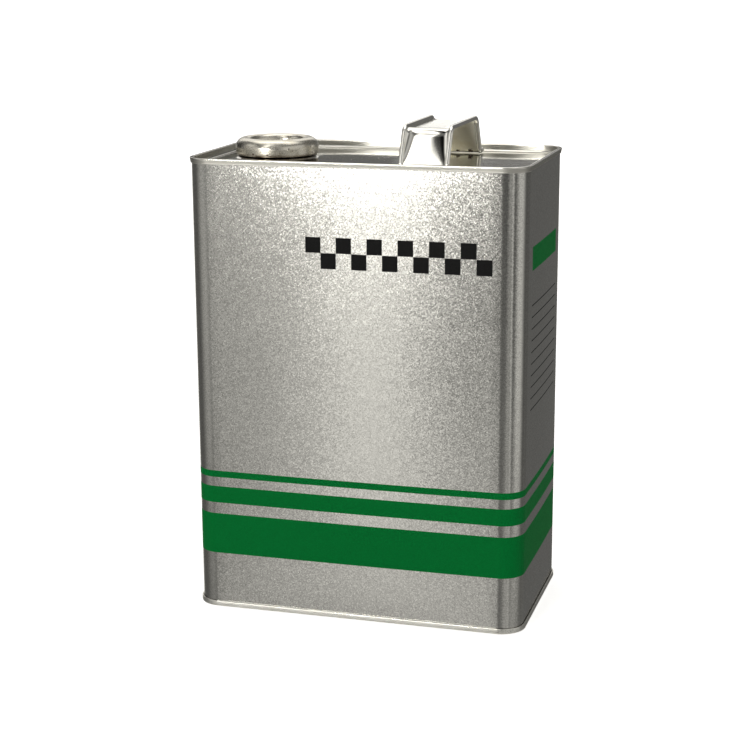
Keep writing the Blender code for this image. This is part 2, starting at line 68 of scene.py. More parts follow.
# Places taken from the frame
SEAM_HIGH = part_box("bottom_end")[1]
HALF_WIDTH = SEAM_HIGH.x - SEAM_REACH
HALF_DEPTH = SEAM_HIGH.y - SEAM_REACH
BOTTOM_PANEL_Z = SEAM_HIGH.z - SHEET
SHELL_LOW, SHELL_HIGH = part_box("body_shell")
RIM_Z = SHELL_LOW.z + SHELL_HIGH.z
TOP_PANEL_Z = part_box("top_end")[0].z + SHEET
RING_LOW, RING_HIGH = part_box("crimp_ring")
MOUTH_X = (RING_LOW.x + RING_HIGH.x) / 2
RING_RADIUS = (RING_HIGH.x - RING_LOW.x) / 2
HANDLE_LOW, HANDLE_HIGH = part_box("carry_handle")
HANDLE_X = (HANDLE_LOW.x + HANDLE_HIGH.x) / 2
HANDLE_WIDTH = HANDLE_HIGH.x - HANDLE_LOW.x
SIDE_WELD_X = HALF_WIDTH - SIDE_WELD_INSET
CAP_LOW, CAP_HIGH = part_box("spout_cap")
NOZZLE_LOW, NOZZLE_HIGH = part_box("pour_nozzle")

# How far the top seam's side leans in towards its foot
SEAM_TAPER = 0.00045

# Side weld on the back wall
SIDE_WELD_WIDTH = 0.0016
SIDE_WELD_THICKNESS = 0.0009
SIDE_WELD_LIFT = 0.0001

# Crimp ring
RING_BORE = 0.0138
RING_SHOULDER = 0.005
RING_BORE_RADIUS = 0.003
RING_FOOT = 0.001
RING_LIFT = 0.0004
RING_BORE_DEPTH = 0.0036

# Neck below the ring
NECK_OUTER = 0.01825
NECK_CURL_WIDTH = 0.0012
NECK_CURL_HEIGHT = 0.0022
NECK_TOP = 0.00795
NECK_ROOT = 0.0016
BOSS_RADIUS = 0.0224
BOSS_HEIGHT = 0.0009
BOSS_EDGE = 0.0007
BOSS_SLOPE = 0.0016

# Spout
FLANGE_WALL = 0.0012
FLANGE_THICKNESS = 0.0016
CONE_TOP_RADIUS = 0.0125
CONE_BASE_RADIUS = 0.0119
CONE_WALL = 0.0006
NOZZLE_BORE = 0.0074
NOZZLE_OUTER = 0.009
NOZZLE_BASE_RADIUS = 0.0116
NOZZLE_BASE_THICKNESS = 0.0012
THREAD_PITCH = 0.004
THREAD_SIDES = 10
THREAD_FADE = 1 / 12
THREAD_END_SIZE = 0.00001
NOZZLE_LIP = 0.0004
NOZZLE_THREAD_BEAD = 0.0008
NOZZLE_THREAD_TURNS = 1.5
NOZZLE_THREAD_DROP = 0.0018

# Cap and tabs
CAP_OUTER = 0.0113
CAP_BORE = 0.0102
CAP_PLATE = 0.0012
CAP_EDGE = 0.0008
CAP_FLUTES = 48
CAP_FLUTE_DEPTH = 0.0003
FLUTE_START = 0.0002
FLUTE_FULL = 0.0008
FLUTE_END_DEPTH = 0.00001
CAP_FOOT_INSET = 0.0001
CAP_THREAD_BEAD = 0.0006
CAP_THREAD_TURNS = 1.2
CAP_THREAD_DELAY = 0.5
HINGE_BLOCK = (0.0032, 0.0012, 0.0021)
HINGE_BLOCK_EDGE = 0.0003
BLOCK_SEGMENTS = 3
TAB_RADIUS = 0.0098
TAB_WIDTH = 0.003
TAB_CORNER = 0.00045
TAB_RIBS = 5
TAB_RIB_SPACING = 7
TAB_RIB_HEIGHT = 0.00025
TAB_RIB_HALF_SHARE = 0.25
TAB_STEPS = 120
TAB_CORNER_STEPS = 4

# Handle
HANDLE_TOP_LENGTH = 0.056
HANDLE_FOOT_LENGTH = 0.074
HANDLE_ROLL = 0.00125
HANDLE_DISH = 0.0013
HANDLE_SHOULDER = 0.0055
HANDLE_HEEL = 0.0022
HANDLE_SPACING = 0.0012
WEB_UPPER_ANGLE = 200
WEB_LOWER_ANGLE = 232
WEB_POWER = 10
WEB_SAG = 0.00115
TOP_DISH_SHARE = 0.25
SPOT_RADIUS = 0.0026
SPOT_DEPTH = 0.00018
SPOT_SPACING = 0.011

# Facets
CORNER_STEPS = 20
WIDE_STEPS = 26
NARROW_STEPS = 16
WALL_ROWS = 44
WEB_STEPS = 28
BEND_STEPS = 8
TURN_STEPS = 128
SMOOTH_ANGLE = math.radians(40)
SUPPORT = 0.0004

# How far the wide and narrow walls swell between the seams, and how far they wander
WIDE_BOW = 0.0008
NARROW_BOW = 0.0005
BOW_POWER = 1.3
BOW_HOLD = 0.7
WANDER = 0.00004
WANDER_SCALE = 24

# Print on the coating: heights above the floor and places from the middle of a side; the band of checks
# has fewer columns at the back, where it ends short of the weld
STRIPES = ((0.030, 0.052), (0.058, 0.067), (0.072, 0.0755))
CHECK_SIZE = 0.008
CHECK_LOW = 0.186
CHECK_ROWS = 2
CHECK_LEFT = -0.024
CHECK_COLUMNS = 12
BACK_COLUMNS = 9
SIDE_BAR = (0.186, 0.198)
SIDE_HALF_WIDTH = 0.032
RULES = (0.112, 0.172)
RULE_SPACING = 0.006
RULE_SHARE = 0.1
BARE_MARGIN = 0.0045
FACE_DEPTH = 0.001

# Colours of rust, of the darkening at the crimp ring's foot and of the painted shade round the neck
RUST = (0.06, 0.032, 0.018, 1.0)
# Brown darkening of the crimp ring towards its foot, patchy with the stain noise
RING_FOOT_DARK = (0.16, 0.115, 0.07, 1.0)
# Near black: painted shade in the undercut between the crimp ring and the neck
NECK_PAINTED_SHADE = (0.012, 0.011, 0.01, 1.0)

# Rust specks on the crimp ring: azimuth from the front towards the right, height above its foot, radius
RING_SPECKS = (
    (-16, 0.0019, 0.0005),
    (5, 0.0018, 0.0004),
    (35, 0.0049, 0.0004),
    (40, 0.0038, 0.0004),
    (72, 0.0055, 0.0005),
    (75, 0.0023, 0.0004),
    (140, 0.0031, 0.0005),
    (205, 0.0046, 0.0004),
    (262, 0.0024, 0.0005),
)

# Dark marks at the handle's rear foot, where it meets the panel, in the rust colour: place from the
# handle's middle and the panel, radius
FOOT_DARK_MARKS = ((0.0002, 0.0362, 0.0016, 0.001), (0.0072, 0.0362, 0.0018, 0.0013))

# Rim walls above the top panel duller and darkened with painted shade, painted shade round the neck under
# the crimp ring, and darkening towards the crimp ring's lower edge
# The rim walls' darker colour is painted shade; their extra roughness is real dullness
RIM_WALL_PAINTED_SHADE = (0.45, 0.44, 0.405, 1.0)
DULL_SHADE_LOW = 0.0006
DULL_SHADE_DROP = 0.0003
DULL_SHADE_FADE = 0.0005
HAZE_ROUGHNESS = 0.35
NECK_SHADE_INNER = 0.0202
NECK_SHADE_OUTER = 0.0212
FOOT_DARK_LOW = 0.0006
FOOT_DARK_HIGH = 0.0024
FOOT_DARK_SHARE = 1.5

# Flakes in the coating: cells in a metre, and how far their faces lean
FLAKE_SCALE = 1900
FLAKE_LEAN = 0.046

# Coating and inks: colours, and how far flakes and cloudiness vary them
SILVER = (0.52, 0.515, 0.49)
GREEN_INK = (0.0006, 0.094, 0.018)
BLACK_INK = (0.0075, 0.0075, 0.0075)
BARE_TIN = (0.60, 0.57, 0.52, 1.0)
FLAKE_CONTRAST = 0.15
INK_CONTRAST = 0.1
CLOUD_CONTRAST = 0.02
CLOUD_SCALE = 35
COAT_ROUGHNESS = (0.105, 0.12)
INK_ROUGHNESS = 0.28
INK_SPECULAR = 0.015

# Bare tinplate and plastic: texture scales in cells to a metre, bump heights in metres
ROLL_STRETCH = (1.0, 40.0, 40.0)
ROLL_SCALE = 60
ROLL_SHARE = 0.15
ROLL_DULLING = (0.8, 1.25)
STAIN_BAND = (0.5, 0.8)
STAIN_SCALE = 160
STAIN_TINT = (0.8, 0.74, 0.62)
TIN_BUMP = 0.00001
MARK_WARP_SCALE = 1400
MARK_WARP = 0.5
MARK_EDGE = (0.75, 1.15)
MARK_ROUGHNESS = 0.4
MARK_COVER = 0.8
PLASTIC_CLOUD_SCALE = 220
PLASTIC_GRAIN_SCALE = 5200
PLASTIC_SHADE = 0.9
PLASTIC_DULLING = (0.85, 1.15)
PLASTIC_BUMP = 0.000008

# Colours and roughness of the finishes, and how strongly some are stained
END_TIN = ((0.74, 0.73, 0.69), 0.07)
BOTTOM_TIN = ((0.70, 0.69, 0.65), 0.3)
# The handle's outer colour is painted brightness: whiter than the tin's own, so its reflections read as
# white highlights
HANDLE_TIN_PAINTED_BRIGHT = ((0.92, 0.91, 0.87), 0.06)
HANDLE_INNER_TIN = ((0.84, 0.81, 0.70), 0.4)
RING_TIN = ((0.70, 0.67, 0.60), 0.27)
SPOUT_PLASTIC = ((0.78, 0.77, 0.72), 0.42)
CAP_PLASTIC = ((0.60, 0.60, 0.58), 0.35)
LINER_FOAM = ((0.84, 0.83, 0.79), 0.8)
SEAM_COMPOUND = ((0.28, 0.26, 0.22), 0.7)
USUAL_STAINS = 0.35
HANDLE_INNER_STAINS = 0.6
RING_STAINS = 0.7

# Where most values of a noise texture lie
NOISE_BAND = (0.3, 0.7)

# Camera at the photograph's angle; the image is 750 pixels square
IMAGE_SIZE = 750
FOCAL_PIXELS = 1737.5
SENSOR = 36.0
CAMERA_PLACE = Vector((0.2479, -0.8713, 0.3406))
CAMERA_YAW = 0.2802
CAMERA_PITCH = 0.239
CAMERA_ROLL = -0.0048

# Stage
FLOOR_REACH = 9.0
FLOOR_DROP = 0.0002
FLOOR_COLOR = (0.95, 0.95, 0.95)
FLOOR_GLOW = 0.62
BACKDROP_RADIUS = 8.0
BACKDROP_SUBDIVISIONS = 4
BACKDROP_COLOR = (1.0, 1.0, 1.0)
BACKDROP_GLOW = 1.0
STAGE_MOTTLE_SCALE = 3.0
STAGE_TONE = (0.985, 1.0)
STAGE_ROUGHNESS = 0.9

# Soft boxes of the studio: azimuth from the front towards the right, elevation, half width and half
# height in degrees, share of the half size over which the edge fades, strength; a flag's strength is
# negative, because it takes light away
BASE_LIGHT = 0.135
LIGHT_TINT = (1.0, 0.985, 0.94)
SOFT_BOXES = {
    "key": (-16.2, 6.6, 11.2, 10, 1.0, 36.0),
    "key_middle": (-15.8, 2, 5, 8, 1.0, 12.0),
    "key_low": (-15.6, -4, 4, 8, 1.0, 2.4),
    "key_foot": (-15.5, -13, 4, 12, 1.0, 0.6),
    "key_tail": (-16.6, -8, 11.3, 22, 1.0, 0.58),
    "key_top": (-17, 50, 9, 32, 0.6, 2.2),
    "floor_glow": (-14, -22, 14, 12, 1.0, 0.4),
    "left_front": (-48, -7, 46, 22, 0.9, 0.38),
    "right_fill": (34, -8, 20, 22, 0.8, 0.25),
    "right_line": (45, -5, 7, 25, 1.0, 0.43),
    "right_box": (86, -9, 34, 18, 0.8, 0.55),
    "right_back": (132, 6, 14, 9, 0.5, 0.7),
    "low_front": (45, -24, 75, 13, 0.8, 0.18),
    "left_upper": (-60, 16, 34, 20, 0.6, 0.28),
    "left_high": (-70, 34, 20, 14, 0.7, 0.7),
    "top_fill": (16, 50, 16, 22, 0.8, 0.3),
    "high_flag": (-50, 52, 15, 14, 0.6, -0.13),
    "right_upper": (68, 20, 50, 26, 0.5, 0.5),
    "left_flag": (-118, 10, 22, 16, 0.3, -0.11),
    "back_low": (205, -18, 28, 20, 0.4, 0.6),
    "underfoot": (0, -90, 50, 50, 0.3, 0.3),
    "floor_front": (0, -52, 40, 30, 0.6, 0.6),
    "floor_right": (90, -52, 40, 30, 0.6, 0.5),
    "floor_back": (180, -52, 40, 30, 0.6, 0.5),
    "floor_left": (-90, -52, 40, 30, 0.6, 0.5),
    "overhead": (0, 96, 40, 20, 0.3, 1.2),
    "back_wall": (203, 50, 25, 39, 0.08, 0.9),
    "back_card": (192.9, 3, 2.5, 3, 0.05, 1.1),
}


def arc(center_x, center_z, radius, start, end, steps):
    """Points of an arc in a section plane, with angles in degrees."""
    points = []
    for index in range(steps + 1):
        angle = math.radians(start + (end - start) * index / steps)
        points.append((center_x + radius * math.cos(angle), center_z + radius * math.sin(angle)))
    return points


def direction(azimuth, elevation):
    """Unit vector at an azimuth from the front towards the right and an elevation, in degrees."""
    a, e = math.radians(azimuth), math.radians(elevation)
    return Vector((math.sin(a) * math.cos(e), -math.cos(a) * math.cos(e), math.sin(e)))


def outline(offset, z):
    """The can's rounded rectangle at a height: (place, outward normal, bow of the wall there)."""
    corner_x = HALF_WIDTH - CORNER_RADIUS
    corner_y = HALF_DEPTH - CORNER_RADIUS
    radius = CORNER_RADIUS + offset
    signs = ((1, 1), (-1, 1), (-1, -1), (1, -1))
    points = []
    for quarter, (sign_x, sign_y) in enumerate(signs):
        center = Vector((sign_x * corner_x, sign_y * corner_y, z))
        for step in range(CORNER_STEPS + 1):
            angle = math.radians(90 * (quarter + step / CORNER_STEPS))
            normal = Vector((math.cos(angle), math.sin(angle), 0.0))
            points.append((center + radius * normal, normal, 0.0))
        wide = quarter % 2 == 0
        steps = WIDE_STEPS if wide else NARROW_STEPS
        bow = WIDE_BOW if wide else NARROW_BOW
        next_x, next_y = signs[(quarter + 1) % len(signs)]
        end = Vector((next_x * corner_x, next_y * corner_y, z)) + radius * normal
        start = points[-1][0]
        for step in range(1, steps):
            across = 2 * step / steps - 1
            points.append((start.lerp(end, step / steps), normal, bow * (1 - across ** 2) ** BOW_POWER))
    return points


def outline_row(work, offset, z):
    """A row of vertices along the can's outline, moved out by an offset."""
    return [work.verts.new(place) for place, normal, bow in outline(offset, z)]


def circle_row(work, radius, z, steps=TURN_STEPS, flute=0.0):
    """A ring of vertices about the mouth's axis, with its radius drawn in by the cap's flutes."""
    row = []
    for index in range(steps):
        angle = 2 * math.pi * index / steps
        reach = radius - flute * (0.5 - 0.5 * math.cos(CAP_FLUTES * angle))
        row.append(work.verts.new((MOUTH_X + reach * math.cos(angle), reach * math.sin(angle), z)))
    return row


def join_rows(work, rows, closed):
    """Quads between rows of vertices that each close on themselves."""
    pairs = list(zip(rows, rows[1:]))
    if closed:
        pairs.append((rows[-1], rows[0]))
    faces = []
    for lower, upper in pairs:
        count = len(lower)
        for index in range(count):
            after = (index + 1) % count
            faces.append(work.faces.new((lower[index], lower[after], upper[after], upper[index])))
    return faces


def row_edges(work, row):
    """Edges round a closed row of vertices, made where they are missing."""
    return [work.edges.get((a, b)) or work.edges.new((a, b)) for a, b in zip(row, row[1:] + row[:1])]


def fill_flat(work, *rows):
    """Triangles over the flat stretch between closed rows of vertices."""
    edges = [edge for row in rows for edge in row_edges(work, row)]
    bmesh.ops.triangle_fill(work, edges=edges, use_beauty=True)


def piece(name, work, materials, body, nodes=()):
    """Turn mesh work into a piece of the object that rides on a body and stands for its solids."""
    bmesh.ops.recalc_face_normals(work, faces=work.faces)
    mesh = bpy.data.meshes.new(name)
    work.to_mesh(mesh)
    work.free()
    for material in materials if isinstance(materials, tuple) else (materials,):
        mesh.materials.append(material)
    mesh.shade_smooth()
    mesh.set_sharp_from_angle(angle=SMOOTH_ANGLE)
    item = bpy.data.objects.new(name, mesh)
    bpy.context.scene.collection.objects.link(item)
    if body:
        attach(item, body)
    if nodes:
        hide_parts(*nodes)
    return item


def turned(work, profile, closed=True):
    """A profile of (radius, height[, flute depth]) points turned about the mouth's axis."""
    rows = []
    for radius, z, *flute in profile:
        depth = flute[0] if flute else 0.0
        steps = TURN_STEPS if not depth else 2 * TURN_STEPS
        rows.append(circle_row(work, radius, z, steps, depth))
    join_rows(work, rows, closed)
    return rows


# Pieces

def make_body(material):
    """Folded wall that swells a little between the seams, with its inner face."""
    low = SEAM_HEIGHT - SEAM_FOLD
    high = RIM_Z - low
    work = bmesh.new()
    outer = []
    for index in range(WALL_ROWS + 1):
        climb = index / WALL_ROWS
        z = low + (high - low) * climb
        hold = math.sin(math.pi * climb) ** BOW_HOLD
        row = []
        for place, normal, bow in outline(0.0, z):
            swell = bow * hold
            if bow:
                swell += WANDER * hold * noise.noise(place * WANDER_SCALE)
            row.append(work.verts.new(place + swell * normal))
        outer.append(row)
    inner = [outline_row(work, -SHEET, z) for z in (high, low)]
    join_rows(work, outer + inner, True)
    weld = bmesh.ops.create_cube(work, size=1.0)["verts"]
    weld_size = Vector((SIDE_WELD_WIDTH, SIDE_WELD_THICKNESS, high - low - 2 * SEAM_HEIGHT))
    weld_place = Vector((SIDE_WELD_X, HALF_DEPTH + SIDE_WELD_LIFT, RIM_Z / 2))
    matrix = Matrix.Translation(weld_place) @ Matrix.Diagonal((*weld_size, 1.0))
    bmesh.ops.transform(work, matrix=matrix, verts=weld)
    return piece("can_body", work, material, "can", ["body_shell"])


def end_profile(panel, taper):
    """Section of a pressed end with its rim at the top, as (offset, height).

    The seam's side leans in by the taper towards its foot.
    """
    bend = CHUCK_INNER - COUNTERSINK_RADIUS
    fold = COUNTERSINK_RADIUS
    profile = [(bend - SUPPORT, panel)]
    profile += arc(bend, panel + fold, fold, -90, 0, BEND_STEPS)
    profile += arc(CHUCK_INNER + SEAM_CREST, RIM_Z - SEAM_CREST, SEAM_CREST, 180, 90, BEND_STEPS)
    profile += arc(SEAM_REACH - SEAM_CREST, RIM_Z - SEAM_CREST, SEAM_CREST, 90, 0, BEND_STEPS)
    foot = RIM_Z - SEAM_HEIGHT
    profile += arc(SEAM_REACH - taper - SEAM_LIP, foot + SEAM_LIP, SEAM_LIP, 0, -90, BEND_STEPS)
    profile += [
        (FIT_GAP, foot),
        (FIT_GAP, RIM_Z - LIP_DROP),
        (SEAM_FOLD, RIM_Z - LIP_DROP),
        (SEAM_FOLD, RIM_Z - SHEET),
        (CHUCK_OUTER, RIM_Z - SHEET),
    ]
    profile += arc(bend, panel + fold, fold + SHEET, 0, -90, BEND_STEPS)
    profile.append((bend - SUPPORT, panel - SHEET))
    return profile


def make_top(material):
    """Top end with the drawn neck of the mouth standing on its panel."""
    work = bmesh.new()
    rows = [outline_row(work, offset, z) for offset, z in end_profile(TOP_PANEL_Z, SEAM_TAPER)]
    join_rows(work, rows, False)
    panel = TOP_PANEL_Z
    top = panel + NECK_TOP
    curl = NECK_CURL_WIDTH
    root = NECK_ROOT
    boss = panel + BOSS_HEIGHT
    brow = BOSS_RADIUS - BOSS_SLOPE
    neck = arc(BOSS_RADIUS, panel + BOSS_EDGE, BOSS_EDGE, -90, -135, BEND_STEPS)
    neck += arc(brow, boss - BOSS_EDGE, BOSS_EDGE, 45, 90, BEND_STEPS)
    neck += arc(NECK_OUTER + root, boss + root, root, -90, -180, BEND_STEPS)
    neck += [(NECK_OUTER, top - NECK_CURL_HEIGHT), (NECK_OUTER + curl - SHEET, top - NECK_CURL_HEIGHT)]
    neck += arc(NECK_OUTER, top - curl, curl, 0, 90, BEND_STEPS)
    neck += arc(NECK_OUTER, top - SHEET, SHEET, 90, 180, BEND_STEPS)[1:]
    neck += arc(NECK_OUTER + root, boss + root, root + SHEET, 180, 270, BEND_STEPS)
    neck += [(brow, boss - SHEET), (BOSS_RADIUS, panel - SHEET)]
    neck_rows = [circle_row(work, radius, z) for radius, z in neck]
    join_rows(work, neck_rows, False)
    fill_flat(work, rows[0], neck_rows[0])
    fill_flat(work, rows[-1], neck_rows[-1])
    return piece("can_top", work, material, "can", ["top_end"])


def make_bottom(material):
    """Bottom end: the section of the ends upside down, round a plain panel."""
    work = bmesh.new()
    panel = RIM_Z - BOTTOM_PANEL_Z
    rows = [outline_row(work, offset, RIM_Z - z) for offset, z in end_profile(panel, 0.0)]
    join_rows(work, rows, False)
    fill_flat(work, rows[0])
    fill_flat(work, rows[-1])
    return piece("can_bottom", work, material, "can", ["bottom_end"])


def make_ring(material):
    """Crimped ring, folded over the spout's flange and in below the neck's curl."""
    top = RING_HIGH.z
    low = RING_LOW.z + RING_LIFT
    bore = RING_BORE_RADIUS
    lip = NECK_OUTER + FIT_GAP
    outside = [(RING_BORE, top - RING_BORE_DEPTH)]
    outside += arc(RING_BORE + bore, top - bore, bore, 180, 90, BEND_STEPS)
    outside += arc(RING_RADIUS - RING_SHOULDER, top - RING_SHOULDER, RING_SHOULDER, 90, 0, 2 * BEND_STEPS)
    outside += arc(RING_RADIUS - RING_FOOT, low + RING_FOOT, RING_FOOT, 0, -90, BEND_STEPS)
    outside.append((lip, low))
    inside = [(lip, low + SHEET)]
    inside += arc(RING_RADIUS - RING_FOOT, low + RING_FOOT, RING_FOOT - SHEET, -90, 0, BEND_STEPS)
    inside += arc(
        RING_RADIUS - RING_SHOULDER, top - RING_SHOULDER, RING_SHOULDER - SHEET, 0, 90, 2 * BEND_STEPS)
    inside += arc(RING_BORE + bore, top - bore, bore - SHEET, 90, 180, BEND_STEPS)
    inside.append((RING_BORE + SHEET, top - RING_BORE_DEPTH))
    work = bmesh.new()
    turned(work, outside + inside)
    return piece("mouth_ring", work, material, "can", ["crimp_ring"])


def ring_place(azimuth, height):
    """A place on the ring's outer wall."""
    return direction(azimuth, 0.0) * RING_RADIUS + Vector((MOUTH_X, 0.0, RING_LOW.z + height))


def make_diaphragm(material):
    """Flange under the ring and the thin cone that turns inside out when the spout is pulled."""
    top = RING_HIGH.z - SHEET - FIT_GAP
    skirt = RING_RADIUS - SHEET - FIT_GAP
    shoulder = RING_SHOULDER - SHEET - FIT_GAP
    drop = RING_BORE + SHEET + FIT_GAP
    lip = RING_HIGH.z - RING_BORE_DEPTH - FIT_GAP
    skirt_end = TOP_PANEL_Z + NECK_TOP - NECK_CURL_HEIGHT - 2 * FIT_GAP
    base = NOZZLE_LOW.z
    profile = arc(skirt - shoulder, top - shoulder, shoulder, 90, 0, BEND_STEPS)
    profile += [
        (skirt, skirt_end),
        (skirt - FLANGE_WALL, skirt_end),
        (skirt - FLANGE_WALL, top - FLANGE_THICKNESS),
        (drop + FLANGE_WALL, top - FLANGE_THICKNESS),
        (drop + FLANGE_WALL, lip - FLANGE_WALL),
    ]
    steps = 3 * BEND_STEPS
    cone = []
    for index in range(steps + 1):
        share = index / steps
        radius = CONE_TOP_RADIUS + (CONE_BASE_RADIUS - CONE_TOP_RADIUS) * share
        cone.append((radius, lip + (base - lip) * share))
    profile += [(radius + CONE_WALL, min(z, lip - CONE_WALL)) for radius, z in cone]
    profile += list(reversed(cone))
    profile += [(drop, lip)]
    profile += arc(RING_BORE + RING_BORE_RADIUS, RING_HIGH.z - RING_BORE_RADIUS,
                   RING_BORE_RADIUS - SHEET - FIT_GAP, 180, 90, BEND_STEPS)
    work = bmesh.new()
    turned(work, profile)
    item = piece("spout_cone", work, material, None, ["spout_diaphragm"])
    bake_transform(item)
    return item


def add_thread(work, radius, bead, start_z, turns):
    """A helical bead that grows from nothing and dies away at its ends."""
    steps = round(TURN_STEPS * turns)
    rows = []
    for index in range(steps + 1):
        share = index / steps
        angle = 2 * math.pi * turns * share
        size = bead * min(1.0, share / THREAD_FADE, (1 - share) / THREAD_FADE) + THREAD_END_SIZE
        row = []
        for side in range(THREAD_SIDES):
            turn = 2 * math.pi * side / THREAD_SIDES
            reach = radius + size * math.cos(turn)
            z = start_z + THREAD_PITCH * turns * share + size * math.sin(turn)
            row.append(work.verts.new((MOUTH_X + reach * math.cos(angle), reach * math.sin(angle), z)))
        rows.append(row)
    join_rows(work, rows, False)
    work.faces.new(rows[0])
    work.faces.new(rows[-1])


def make_nozzle(material):
    """Threaded nozzle that stands on the foot of the cone."""
    top = NOZZLE_HIGH.z
    base = NOZZLE_LOW.z
    step = base + NOZZLE_BASE_THICKNESS
    lip = NOZZLE_LIP
    profile = arc(NOZZLE_OUTER - lip, top - lip, lip, 90, 0, BEND_STEPS)
    profile += [(NOZZLE_OUTER, step), (NOZZLE_BASE_RADIUS, step), (NOZZLE_BASE_RADIUS, base)]
    profile += [(NOZZLE_BORE, base)]
    profile += arc(NOZZLE_BORE + lip, top - lip, lip, 180, 90, BEND_STEPS)
    work = bmesh.new()
    turned(work, profile)
    start = top - NOZZLE_THREAD_DROP - THREAD_PITCH * NOZZLE_THREAD_TURNS
    add_thread(work, NOZZLE_OUTER, NOZZLE_THREAD_BEAD, start, NOZZLE_THREAD_TURNS)
    return piece("spout_nozzle", work, material, "spout", ["pour_nozzle"])


def add_block(work, size, place, edge):
    """A small moulded block with rounded edges."""
    verts = bmesh.ops.create_cube(work, size=1.0)["verts"]
    bmesh.ops.transform(work, matrix=Matrix.Translation(place) @ Matrix.Diagonal((*size, 1.0)), verts=verts)
    edges = list({e for v in verts for e in v.link_edges})
    bmesh.ops.bevel(work, geom=edges, offset=edge, segments=BLOCK_SEGMENTS, profile=0.5, affect="EDGES")


def make_cap(material):
    """Screw cap with fluted skirt, inner thread and the two hinge blocks of the tabs."""
    block_x = TAB_RADIUS - TAB_WIDTH / 2
    top = CAP_HIGH.z - HINGE_BLOCK[2] + CAP_PLATE / 2
    low = CAP_LOW.z
    work = bmesh.new()
    skirt_top = top - CAP_EDGE
    crown = arc(CAP_OUTER - CAP_EDGE, skirt_top, CAP_EDGE, 90, 0, BEND_STEPS)
    profile = [(SUPPORT, top), (CAP_OUTER - CAP_EDGE - SUPPORT, top), *crown]
    rows = turned(work, profile, False)
    fill_flat(work, rows[0])
    fluted = [
        (CAP_OUTER, skirt_top - FLUTE_START, FLUTE_END_DEPTH),
        (CAP_OUTER, skirt_top - FLUTE_FULL, CAP_FLUTE_DEPTH),
        (CAP_OUTER, low + FLUTE_FULL, CAP_FLUTE_DEPTH),
        (CAP_OUTER, low + FLUTE_START, FLUTE_END_DEPTH),
    ]
    fluted_rows = turned(work, fluted, False)
    under = top - CAP_PLATE
    inside = [(CAP_OUTER - CAP_FOOT_INSET, low), (CAP_BORE, low), (CAP_BORE, under), (SUPPORT, under)]
    inner_rows = turned(work, inside, False)
    fill_flat(work, inner_rows[-1])
    bridge = row_edges(work, rows[-1]) + row_edges(work, fluted_rows[0])
    bmesh.ops.bridge_loops(work, edges=bridge)
    bridge = row_edges(work, fluted_rows[-1]) + row_edges(work, inner_rows[0])
    bmesh.ops.bridge_loops(work, edges=bridge)
    turns_down = NOZZLE_THREAD_TURNS - CAP_THREAD_DELAY
    start = NOZZLE_HIGH.z - NOZZLE_THREAD_DROP - THREAD_PITCH * turns_down
    add_thread(work, CAP_BORE, CAP_THREAD_BEAD, start, CAP_THREAD_TURNS)
    for side in (-1, 1):
        place = (MOUTH_X + side * block_x, 0.0, CAP_HIGH.z - HINGE_BLOCK[2] / 2)
        add_block(work, HINGE_BLOCK, place, HINGE_BLOCK_EDGE)
    return piece("screw_cap", work, material, "cap", ["spout_cap"])


def make_tab(side, node, body, material):
    """Half-ring pull tab with a rounded section and a few grip ribs at its middle."""
    low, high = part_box(node)
    thickness = high.z - low.z
    middle_z = (low.z + high.z) / 2
    near = min(abs(low.y), abs(high.y))
    radius = TAB_RADIUS - TAB_WIDTH / 2
    first = math.degrees(math.asin(near / radius))
    section = []
    for turn, (sx, sz) in enumerate(((1, 1), (-1, 1), (-1, -1), (1, -1))):
        corner_x = sx * (TAB_WIDTH / 2 - TAB_CORNER)
        corner_z = sz * (thickness / 2 - TAB_CORNER)
        section += arc(corner_x, corner_z, TAB_CORNER, 90 * turn, 90 * turn + 90, TAB_CORNER_STEPS)
    work = bmesh.new()
    rows = []
    for index in range(TAB_STEPS + 1):
        angle = first + (180 - 2 * first) * index / TAB_STEPS
        off = abs(angle - 90) / TAB_RIB_SPACING
        from_rib = off - round(off)
        on_rib = off < TAB_RIBS / 2 and abs(from_rib) < TAB_RIB_HALF_SHARE
        lift = TAB_RIB_HEIGHT * math.cos(2 * math.pi * from_rib) if on_rib else 0.0
        row = []
        for across, up in section:
            reach = radius + across
            raised = up + lift if up > 0 else up
            x = MOUTH_X + reach * math.cos(math.radians(angle))
            y = side * reach * math.sin(math.radians(angle))
            row.append(work.verts.new((x, y, middle_z + raised)))
        rows.append(row)
    join_rows(work, rows, False)
    work.faces.new(rows[0])
    work.faces.new(rows[-1])
    return piece(f"{node}_moulding", work, material, body, [node])


def rounded_path(corners):
    """Points along a path of (corner, radius), with each corner rounded by an arc."""
    points = [corners[0][0]]
    for (before, _), (corner, radius), (after, _) in zip(corners, corners[1:], corners[2:]):
        inward = (before - corner).normalized()
        onward = (after - corner).normalized()
        half = inward.angle(onward) / 2
        reach = radius / math.tan(half)
        center = corner + (inward + onward).normalized() * (radius / math.sin(half))
        first = corner + inward * reach - center
        sweep = first.angle_signed(corner + onward * reach - center)
        for index in range(2 * BEND_STEPS + 1):
            points.append(center + Matrix.Rotation(-sweep * index / (2 * BEND_STEPS), 2) @ first)
    points.append(corners[-1][0])
    spaced = [points[0]]
    for start, end in zip(points, points[1:]):
        count = max(1, math.ceil((end - start).length / HANDLE_SPACING))
        spaced += [start.lerp(end, index / count) for index in range(1, count + 1)]
    return spaced


